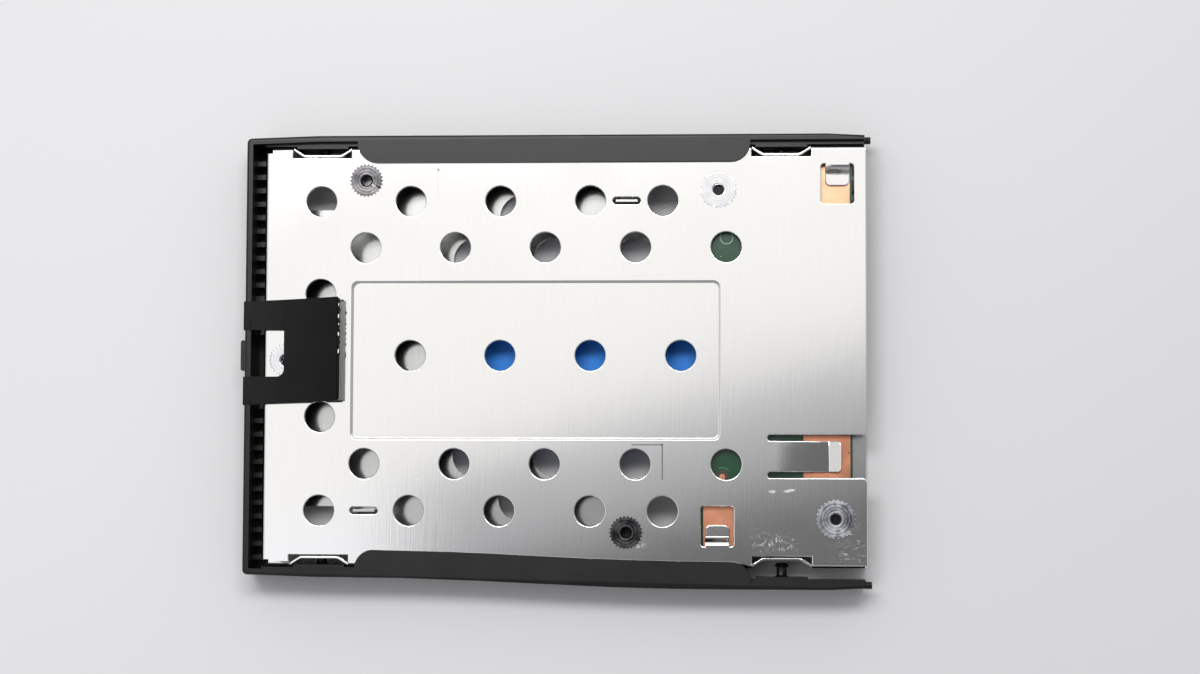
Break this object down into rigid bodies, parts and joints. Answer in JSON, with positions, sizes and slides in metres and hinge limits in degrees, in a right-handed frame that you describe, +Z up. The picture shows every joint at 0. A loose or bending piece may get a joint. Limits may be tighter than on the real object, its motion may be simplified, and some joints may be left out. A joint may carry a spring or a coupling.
{
  "type": "laptop drive caddy",
  "caption": "Flat vented metal caddy that carries a small card-edge drive in a laptop's 2.5-inch drive bay, with a U-shaped rubber bumper, a film pull tab and an adapter board inside.",
  "frame": {"origin": "bottom centre of the whole object's box, on the surface that it lies on", "axes": "+X towards the open connector end, +Y towards the back rail, +Z up out of the vented tray's plate"},
  "size_m": [0.105, 0.0752, 0.011],
  "materials": {
    "tray_metal": "rolled satin",
    "cover_metal": "rolled satin",
    "bumper_rubber": "matte moulded",
    "tab_film": "smooth film",
    "board_mask": "green solder mask",
    "connector_plastic": "moulded",
    "contact_gold": "plated",
    "pad_gel": "soft matte",
    "liner_film": "thin film",
    "bare_copper": "bare copper",
    "chip_epoxy": "moulded",
    "coil_ferrite": "pressed",
    "capacitor_ceramic": "fired",
    "screw_steel": "black plated",
    "standoff_steel": "turned and plated"
  },
  "bodies": {
    "root": {"vented_tray": "tray_metal", "bottom_cover": "cover_metal", "bumper_frame": "bumper_rubber", "pull_tab": "tab_film", "adapter_board": "board_mask", "drive_socket": "connector_plastic", "socket_contacts_rear": "contact_gold", "socket_contacts_front": "contact_gold", "host_plug": "connector_plastic", "signal_contacts": "contact_gold", "power_contacts": "contact_gold", "thermal_pad": "pad_gel", "pad_liner": "liner_film", "ground_land_back": "bare_copper", "ground_land_front": "bare_copper", "ground_land_side": "bare_copper", "regulator_chip": "chip_epoxy", "power_inductor": "coil_ferrite", "board_capacitor_1": "capacitor_ceramic", "board_capacitor_2": "capacitor_ceramic", "board_capacitor_3": "capacitor_ceramic", "board_capacitor_4": "capacitor_ceramic", "cover_screw_back": "screw_steel", "cover_screw_front": "screw_steel", "board_screw_back": "screw_steel", "board_screw_front": "screw_steel", "cover_standoff_back": "standoff_steel", "cover_standoff_front": "standoff_steel", "board_standoff_back": "standoff_steel", "board_standoff_front": "standoff_steel", "drive_standoff": "standoff_steel"}
  },
  "joints": []
}
